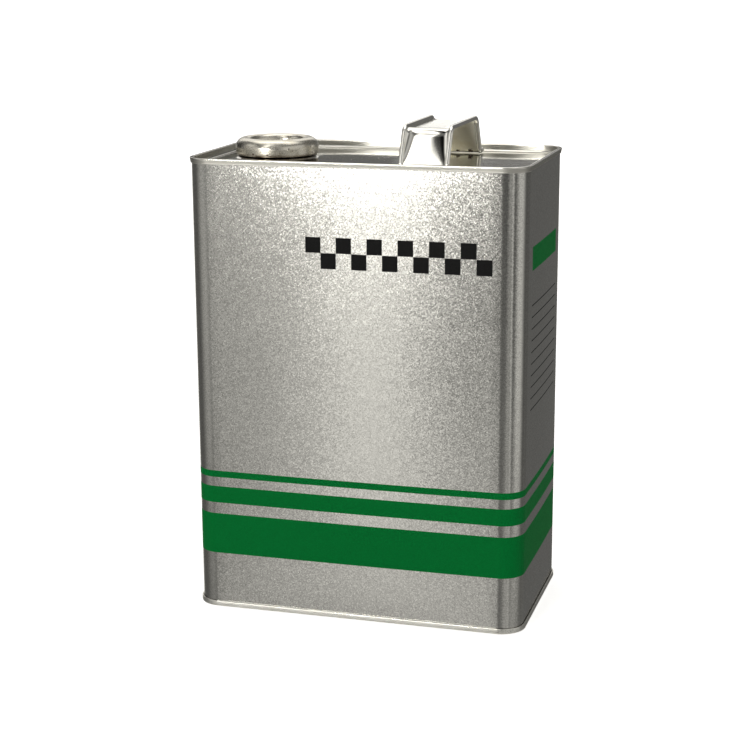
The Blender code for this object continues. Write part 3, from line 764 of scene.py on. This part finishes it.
def strap_section(dish, sag):
    """Closed section of the handle: a dished web between two rolled edges, as (across, outward)."""
    roll = HANDLE_ROLL
    roll_x = HANDLE_WIDTH / 2 - roll
    upper = math.radians(WEB_UPPER_ANGLE)
    lower = math.radians(WEB_LOWER_ANGLE)
    web_x = roll_x + roll * math.cos(upper)
    half_web = roll * (math.sin(upper) - math.sin(lower)) / 2
    web_z = roll * (math.sin(upper) + math.sin(lower)) / 2
    right = arc(roll_x, 0.0, roll, WEB_UPPER_ANGLE, WEB_LOWER_ANGLE - 360, 3 * BEND_STEPS)
    left = [(-x, z) for x, z in reversed(right)]
    sunk = []
    for index in range(1, WEB_STEPS):
        share = math.sin(math.pi * (index / WEB_STEPS - 0.5))
        depth = dish * (1 - abs(share) ** WEB_POWER) + sag * (1 - share ** 2)
        sunk.append((share * web_x, web_z - depth))
    upper_face = [(x, z + half_web) for x, z in sunk]
    lower_face = [(x, z - half_web) for x, z in reversed(sunk)]
    return upper_face + right + lower_face + left


def make_handle(outer, inner):
    """Pressed strap handle, lofted from sections that deepen up its legs, duller on its inner side."""
    foot_z = HANDLE_LOW.z + HANDLE_ROLL
    top_z = HANDLE_HIGH.z - HANDLE_ROLL
    foot_y = HANDLE_FOOT_LENGTH / 2
    top_y = HANDLE_TOP_LENGTH / 2
    path = rounded_path([
        (Vector((HANDLE_LOW.y, foot_z)), 0.0),
        (Vector((-foot_y, foot_z)), HANDLE_HEEL),
        (Vector((-top_y, top_z)), HANDLE_SHOULDER),
        (Vector((top_y, top_z)), HANDLE_SHOULDER),
        (Vector((foot_y, foot_z)), HANDLE_HEEL),
        (Vector((HANDLE_HIGH.y, foot_z)), 0.0),
    ])
    work = bmesh.new()
    rows = []
    for index, point in enumerate(path):
        before = path[max(index - 1, 0)]
        after = path[min(index + 1, len(path) - 1)]
        along = (after - before).normalized()
        outward = Vector((-along.y, along.x))
        climb = (point.y - foot_z) / (top_z - foot_z)
        climb = min(1.0, max(0.0, climb))
        steep = along.y ** 2
        sag = WEB_SAG * climb * steep
        dish = HANDLE_DISH * climb * (TOP_DISH_SHARE + (1 - TOP_DISH_SHARE) * steep)
        weld_y = abs(point.x) - (foot_y + HANDLE_HIGH.y) / 2
        row = []
        for across, lift in strap_section(dish, sag):
            off = math.hypot(weld_y, abs(across) - SPOT_SPACING / 2) / SPOT_RADIUS
            lift -= SPOT_DEPTH * max(0.0, 1 - off ** 2) * (1 - climb)
            spot = point + outward * lift
            row.append(work.verts.new((HANDLE_X + across, spot.x, spot.y)))
        rows.append(row)
    faces = join_rows(work, rows, False)
    around = len(rows[0])
    for index, face in enumerate(faces):
        if around / 2 <= index % around < around / 2 + WEB_STEPS:
            face.material_index = 1
    work.faces.new(rows[0])
    work.faces.new(rows[-1])
    return piece("strap_handle", work, (outer, inner), "can", ["carry_handle"])


# Finishes

def set_inputs(tree, node, inputs):
    """Set a node's inputs, or link those whose value is another node's output."""
    for key, value in inputs.items():
        if isinstance(value, bpy.types.NodeSocket):
            tree.links.new(value, node.inputs[key])
        else:
            node.inputs[key].default_value = value


def add(tree, kind, inputs=None, **settings):
    """A node with its settings and inputs."""
    node = tree.nodes.new(kind)
    for key, value in settings.items():
        setattr(node, key, value)
    set_inputs(tree, node, inputs or {})
    return node


def calc(tree, operation, *values):
    """A number worked out from others."""
    return add(tree, "ShaderNodeMath", dict(enumerate(values)), operation=operation).outputs[0]


def vector(tree, operation, *values):
    return add(tree, "ShaderNodeVectorMath", dict(enumerate(values)), operation=operation).outputs[0]


def scaled(tree, color, factor):
    return add(tree, "ShaderNodeVectorMath", {0: color, 3: factor}, operation="SCALE").outputs[0]


def measured(tree, operation, first, second):
    """A vector operation that gives a number."""
    node = add(tree, "ShaderNodeVectorMath", {0: first, 1: second}, operation=operation)
    return node.outputs["Value"]


def all_of(tree, *masks):
    """Product of masks, each 1 inside and 0 outside, and of any other factor."""
    total = masks[0]
    for mask in masks[1:]:
        total = calc(tree, "MULTIPLY", total, mask)
    return total


def between(tree, value, low, high):
    return all_of(tree, calc(tree, "GREATER_THAN", value, low), calc(tree, "LESS_THAN", value, high))


def near_middle(tree, value, limit):
    return calc(tree, "LESS_THAN", calc(tree, "ABSOLUTE", value), limit)


def far_out(tree, value, limit):
    return calc(tree, "GREATER_THAN", calc(tree, "ABSOLUTE", value), limit)


def either(tree, masks):
    """Largest of several masks."""
    total = masks[0]
    for mask in masks[1:]:
        total = calc(tree, "MAXIMUM", total, mask)
    return total


def grain(tree, place, scale, detail=2.0, rough=0.5):
    """Noise, mostly within its band, with a number of cells in a metre."""
    inputs = {"Vector": place, "Scale": scale, "Detail": detail, "Roughness": rough}
    return add(tree, "ShaderNodeTexNoise", inputs).outputs["Fac"]


def spread(tree, value, low, high, to_low, to_high):
    """A value carried from one range to another and held within it."""
    inputs = {"Value": value, "From Min": low, "From Max": high, "To Min": to_low, "To Max": to_high}
    return add(tree, "ShaderNodeMapRange", inputs).outputs["Result"]


def mix_color(tree, share, first, second):
    """A mix of two colours; the numbers are the mix node's sockets for colours."""
    inputs = {0: share, 6: first, 7: second}
    return add(tree, "ShaderNodeMix", inputs, data_type="RGBA").outputs[2]


def new_finish(name):
    """A material with its node tree, shader and place in the object's frame."""
    material = bpy.data.materials.new(name)
    material.use_nodes = True
    tree = material.node_tree
    shader = tree.nodes["Principled BSDF"]
    place = add(tree, "ShaderNodeTexCoord").outputs["Object"]
    return material, tree, shader, place


def bump(tree, height, distance):
    return add(tree, "ShaderNodeBump", {"Height": height, "Distance": distance}).outputs["Normal"]


def flakes(tree, place):
    """Normals of the coating's leaning flakes, and a random share for each flake."""
    cells = add(tree, "ShaderNodeTexVoronoi", {"Vector": place, "Scale": FLAKE_SCALE}).outputs["Color"]
    lean = scaled(tree, vector(tree, "SUBTRACT", cells, (0.5, 0.5, 0.5)), FLAKE_LEAN)
    smooth = add(tree, "ShaderNodeNewGeometry").outputs["Normal"]
    normal = vector(tree, "NORMALIZE", vector(tree, "ADD", smooth, lean))
    return normal, add(tree, "ShaderNodeSeparateXYZ", {"Vector": cells}).outputs[1]


def printed(tree, place):
    """Where the generic print is green, where it is black and where the tin beside the weld is bare."""
    x, y, z = add(tree, "ShaderNodeSeparateXYZ", {"Vector": place}).outputs
    broad = far_out(tree, y, HALF_DEPTH - FACE_DEPTH)
    flank = far_out(tree, x, HALF_WIDTH - FACE_DEPTH)
    side_panel = all_of(tree, flank, near_middle(tree, y, SIDE_HALF_WIDTH))
    green = either(tree, [between(tree, z, low, high) for low, high in STRIPES])
    green = calc(tree, "MAXIMUM", green, all_of(tree, side_panel, between(tree, z, *SIDE_BAR)))

    column = calc(tree, "FLOOR", calc(tree, "DIVIDE", calc(tree, "SUBTRACT", x, CHECK_LEFT), CHECK_SIZE))
    rank = calc(tree, "FLOOR", calc(tree, "DIVIDE", calc(tree, "SUBTRACT", z, CHECK_LOW), CHECK_SIZE))
    odd = calc(tree, "GREATER_THAN", calc(tree, "PINGPONG", calc(tree, "ADD", column, rank), 1.0), 0.5)
    columns = between(tree, column, -0.5, CHECK_COLUMNS - 0.5)
    ranks = between(tree, rank, -0.5, CHECK_ROWS - 0.5)
    by_back_end = calc(tree, "GREATER_THAN", column, BACK_COLUMNS - 0.5)
    cut_short = all_of(tree, calc(tree, "GREATER_THAN", y, 0.0), by_back_end)
    check = all_of(tree, odd, columns, ranks, broad, calc(tree, "SUBTRACT", 1.0, cut_short))
    line = calc(tree, "LESS_THAN", calc(tree, "FRACT", calc(tree, "DIVIDE", z, RULE_SPACING)), RULE_SHARE)
    rules = all_of(tree, line, between(tree, z, *RULES), side_panel)
    black = calc(tree, "MAXIMUM", check, rules)

    by_weld = near_middle(tree, calc(tree, "SUBTRACT", x, SIDE_WELD_X), BARE_MARGIN)
    bare = all_of(tree, by_weld, calc(tree, "GREATER_THAN", y, HALF_DEPTH - FACE_DEPTH))
    coated = calc(tree, "SUBTRACT", 1.0, bare)
    return all_of(tree, green, coated), all_of(tree, black, coated), bare


def coated_tin():
    """Silver sparkle coating with generic print, bare beside the weld at the back."""
    material, tree, shader, place = new_finish("coated_tin_finish")
    normal, share = flakes(tree, place)
    green, black, bare = printed(tree, place)
    ink = calc(tree, "MAXIMUM", green, black)
    cloud = grain(tree, place, CLOUD_SCALE, detail=3.0)
    tint = spread(tree, share, 0.0, 1.0, 1 - FLAKE_CONTRAST, 1 + FLAKE_CONTRAST)
    tint = calc(tree, "ADD", tint, spread(tree, cloud, *NOISE_BAND, -CLOUD_CONTRAST, CLOUD_CONTRAST))
    speck = spread(tree, share, 0.0, 1.0, 1 - INK_CONTRAST, 1 + INK_CONTRAST)
    color = mix_color(tree, green, scaled(tree, SILVER, tint), scaled(tree, GREEN_INK, speck))
    color = mix_color(tree, black, color, scaled(tree, BLACK_INK, speck))
    color = mix_color(tree, bare, color, BARE_TIN)
    rough = spread(tree, cloud, *NOISE_BAND, *COAT_ROUGHNESS)
    rough = calc(tree, "ADD", rough, calc(tree, "MULTIPLY", ink, INK_ROUGHNESS))
    metal = calc(tree, "SUBTRACT", 1.0, ink)
    looks = {"Base Color": color, "Roughness": rough, "Metallic": metal, "Normal": normal}
    set_inputs(tree, shader, looks)
    shader.inputs["Specular IOR Level"].default_value = INK_SPECULAR
    return material


def spots(tree, place, marks):
    """Irregular marks, each given as its place and radius: 1 inside one of them."""
    warp = spread(tree, grain(tree, place, MARK_WARP_SCALE), *NOISE_BAND, -MARK_WARP, MARK_WARP)
    masks = []
    for center, radius in marks:
        far = calc(tree, "DIVIDE", measured(tree, "DISTANCE", place, center), radius)
        masks.append(spread(tree, calc(tree, "ADD", far, warp), *MARK_EDGE, 1.0, 0.0))
    return either(tree, masks)


def bright_tin(name, color, rough, stains=USUAL_STAINS, marks=(), dull_and_shade=None, foot_dark=None, neck_shade=None):
    """Bare tinplate with rolled grain and stains.

    It may have rust or other dark marks, a duller stretch of height darkened with painted shade,
    painted shade round the mouth, and darkening that fades with height.
    """
    material, tree, shader, place = new_finish(name)
    x, y, z = add(tree, "ShaderNodeSeparateXYZ", {"Vector": place}).outputs
    stretched = add(tree, "ShaderNodeMapping", {"Vector": place, "Scale": ROLL_STRETCH}).outputs[0]
    rolled = grain(tree, stretched, ROLL_SCALE, detail=3.0)
    stain = grain(tree, place, STAIN_SCALE, detail=4.0, rough=0.6)
    stained = spread(tree, stain, *STAIN_BAND, 0.0, stains)
    darker = [value * tint for value, tint in zip(color, STAIN_TINT)]
    base = mix_color(tree, stained, (*color, 1.0), (*darker, 1.0))
    roughness = spread(tree, rolled, *NOISE_BAND, rough * ROLL_DULLING[0], rough * ROLL_DULLING[1])
    metal = 1.0
    # Rim walls: rougher for real dullness, and darker as painted shade
    if dull_and_shade:
        low, high = dull_and_shade
        dull_shaded = spread(tree, z, low, low + DULL_SHADE_FADE, 0.0, 1.0)
        dull_shaded = calc(tree, "MULTIPLY", dull_shaded, spread(tree, z, high - DULL_SHADE_FADE, high, 1.0, 0.0))
        roughness = calc(tree, "ADD", roughness, calc(tree, "MULTIPLY", dull_shaded, HAZE_ROUGHNESS))
        base = mix_color(tree, dull_shaded, base, RIM_WALL_PAINTED_SHADE)
    # Painted shade: near black round the neck, in the undercut below the crimp ring
    if neck_shade:
        level = add(tree, "ShaderNodeCombineXYZ", {"X": x, "Y": y}).outputs[0]
        from_axis = measured(tree, "DISTANCE", level, (MOUTH_X, 0.0, 0.0))
        base = mix_color(tree, spread(tree, from_axis, *neck_shade), base, NECK_PAINTED_SHADE)
    # Darker towards the crimp ring's foot, patchy with the stain noise
    if foot_dark:
        base = mix_color(tree, calc(tree, "MULTIPLY", spread(tree, z, *foot_dark), stain), base, RING_FOOT_DARK)
    if marks:
        marked = spots(tree, place, marks)
        base = mix_color(tree, marked, base, RUST)
        roughness = calc(tree, "ADD", roughness, calc(tree, "MULTIPLY", marked, MARK_ROUGHNESS))
        metal = calc(tree, "SUBTRACT", 1.0, calc(tree, "MULTIPLY", marked, MARK_COVER))
    height = calc(tree, "ADD", calc(tree, "MULTIPLY", rolled, ROLL_SHARE), stain)
    normal = bump(tree, height, TIN_BUMP)
    looks = {"Base Color": base, "Roughness": roughness, "Metallic": metal, "Normal": normal}
    set_inputs(tree, shader, looks)
    return material


def moulded_plastic(name, color, rough):
    """Moulded plastic: faint cloudiness and a fine matt texture."""
    material, tree, shader, place = new_finish(name)
    cloud = grain(tree, place, PLASTIC_CLOUD_SCALE, detail=3.0)
    fine = grain(tree, place, PLASTIC_GRAIN_SCALE)
    darker = [PLASTIC_SHADE * value for value in color]
    base = mix_color(tree, cloud, (*color, 1.0), (*darker, 1.0))
    roughness = spread(tree, fine, *NOISE_BAND, rough * PLASTIC_DULLING[0], rough * PLASTIC_DULLING[1])
    normal = bump(tree, fine, PLASTIC_BUMP)
    set_inputs(tree, shader, {"Base Color": base, "Roughness": roughness, "Normal": normal})
    return material


def dress_node(node, material):
    """Give a solid that no piece stands for its finish."""
    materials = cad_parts[node].data.materials
    materials.clear()
    materials.append(material)


# Studio

def window(tree, toward, axis, half_angle, soft):
    """1 within an angle of the plane across an axis, fading to 0 at the edge."""
    lean = measured(tree, "DOT_PRODUCT", toward, axis)
    share = calc(tree, "DIVIDE", calc(tree, "ABSOLUTE", lean), math.sin(math.radians(half_angle)))
    inputs = {"Value": calc(tree, "SUBTRACT", 1.0, share), "From Min": 0.0, "From Max": soft}
    return add(tree, "ShaderNodeMapRange", inputs, interpolation_type="SMOOTHSTEP").outputs["Result"]


def soft_box(tree, toward, azimuth, elevation, half_width, half_height, soft, strength):
    """Brightness of one soft box in a direction."""
    center = direction(azimuth, elevation)
    level = direction(azimuth + 90, 0)
    upright = level.cross(center)
    across = window(tree, toward, level, half_width, soft)
    along = window(tree, toward, upright, half_height, soft)
    ahead = calc(tree, "GREATER_THAN", measured(tree, "DOT_PRODUCT", toward, center), 0.0)
    return all_of(tree, across, along, ahead, strength)


def make_studio():
    """Light from all round: a dim surround with soft boxes in it."""
    world = bpy.data.worlds.new("studio")
    bpy.context.scene.world = world
    world.use_nodes = True
    tree = world.node_tree
    toward = add(tree, "ShaderNodeTexCoord").outputs["Generated"]
    light = BASE_LIGHT
    for box in SOFT_BOXES.values():
        light = calc(tree, "ADD", light, soft_box(tree, toward, *box))
    tree.links.new(scaled(tree, LIGHT_TINT, light), tree.nodes["Background"].inputs["Color"])


def stage_material(name, color, glow):
    """Pale matt finish of the stage, with a glow of its own."""
    material, tree, shader, place = new_finish(name)
    tone = spread(tree, grain(tree, place, STAGE_MOTTLE_SCALE), *NOISE_BAND, *STAGE_TONE)
    set_inputs(tree, shader, {"Base Color": scaled(tree, color, tone), "Roughness": STAGE_ROUGHNESS})
    shader.inputs["Emission Color"].default_value = (*color, 1.0)
    shader.inputs["Emission Strength"].default_value = glow
    return material


def stage_piece(name, work, material):
    """Turn mesh work into an object of the stage."""
    mesh = bpy.data.meshes.new(name)
    work.to_mesh(mesh)
    work.free()
    mesh.materials.append(material)
    item = bpy.data.objects.new(name, mesh)
    bpy.context.scene.collection.objects.link(item)
    return item


def make_stage():
    """Pale floor and backdrop that the camera sees but the bright metal doesn't."""
    work = bmesh.new()
    bmesh.ops.create_grid(work, x_segments=1, y_segments=1, size=FLOOR_REACH)
    floor = stage_piece("studio_floor", work, stage_material("floor_finish", FLOOR_COLOR, FLOOR_GLOW))
    floor.location.z = -FLOOR_DROP
    floor.visible_glossy = False
    work = bmesh.new()
    bmesh.ops.create_icosphere(work, subdivisions=BACKDROP_SUBDIVISIONS, radius=BACKDROP_RADIUS)
    finish = stage_material("backdrop_finish", BACKDROP_COLOR, BACKDROP_GLOW)
    backdrop = stage_piece("studio_backdrop", work, finish)
    for kind in ("diffuse", "glossy", "transmission", "volume_scatter", "shadow"):
        setattr(backdrop, f"visible_{kind}", False)


def make_camera():
    """Camera at the photograph's place and angle."""
    yaw, pitch, roll = CAMERA_YAW, CAMERA_PITCH, CAMERA_ROLL
    ahead = Vector((-math.sin(yaw) * math.cos(pitch), math.cos(yaw) * math.cos(pitch), -math.sin(pitch)))
    right = Vector((math.cos(yaw), math.sin(yaw), 0.0))
    up = right.cross(ahead)
    tilted_right = math.cos(roll) * right + math.sin(roll) * up
    tilted_up = math.cos(roll) * up - math.sin(roll) * right
    data = bpy.data.cameras.new("camera")
    data.sensor_width = SENSOR
    data.lens = FOCAL_PIXELS / IMAGE_SIZE * SENSOR
    camera = bpy.data.objects.new("camera", data)
    bpy.context.scene.collection.objects.link(camera)
    matrix = Matrix((tilted_right, tilted_up, -ahead)).transposed().to_4x4()
    matrix.translation = CAMERA_PLACE
    camera.matrix_world = matrix
    bpy.context.scene.camera = camera


def main():
    coated = coated_tin()
    # Band of height that is duller and darkened with painted shade
    dull_and_shade = (TOP_PANEL_Z + DULL_SHADE_LOW, RIM_Z - DULL_SHADE_DROP)
    # Painted shade round the neck, under the crimp ring
    neck_shade = (NECK_SHADE_INNER, NECK_SHADE_OUTER, 1.0, 0.0)
    end_tin = bright_tin("end_tin_finish", *END_TIN, dull_and_shade=dull_and_shade, neck_shade=neck_shade)
    bottom_tin = bright_tin("bottom_tin_finish", *BOTTOM_TIN)
    # Handle's outer tin, painted brighter than its own colour as highlight
    handle_bright_tin = bright_tin("handle_painted_bright_finish", *HANDLE_TIN_PAINTED_BRIGHT)
    # Dark marks in the rust colour at the handle's rear foot, where it meets the panel
    foot_marks = [(Vector((HANDLE_X + x, y, TOP_PANEL_Z + z)), radius) for x, y, z, radius in FOOT_DARK_MARKS]
    handle_inner = bright_tin("handle_inner_finish", *HANDLE_INNER_TIN, HANDLE_INNER_STAINS, foot_marks)
    specks = [(ring_place(azimuth, height), radius) for azimuth, height, radius in RING_SPECKS]
    # Darkening of the crimp ring towards its foot
    foot_dark = (RING_LOW.z + FOOT_DARK_LOW, RING_LOW.z + FOOT_DARK_HIGH, FOOT_DARK_SHARE, 0.0)
    ring_tin = bright_tin("ring_tin_finish", *RING_TIN, RING_STAINS, specks, foot_dark=foot_dark)
    spout_plastic = moulded_plastic("spout_plastic_finish", *SPOUT_PLASTIC)
    cap_plastic = moulded_plastic("cap_plastic_finish", *CAP_PLASTIC)
    liner_foam = moulded_plastic("liner_foam_finish", *LINER_FOAM)
    compound = moulded_plastic("seam_compound_finish", *SEAM_COMPOUND)

    make_body(coated)
    make_top(end_tin)
    make_bottom(bottom_tin)
    make_handle(handle_bright_tin, handle_inner)
    make_ring(ring_tin)
    make_diaphragm(spout_plastic)
    make_nozzle(spout_plastic)
    make_cap(cap_plastic)
    make_tab(-1, "pull_tab_front", "front_tab", cap_plastic)
    make_tab(1, "pull_tab_back", "back_tab", cap_plastic)
    dress_node("cap_liner", liner_foam)
    dress_node("top_seam_compound", compound)
    dress_node("bottom_seam_compound", compound)

    bpy.context.scene.view_settings.view_transform = "Standard"
    make_studio()
    make_stage()
    make_camera()


main()
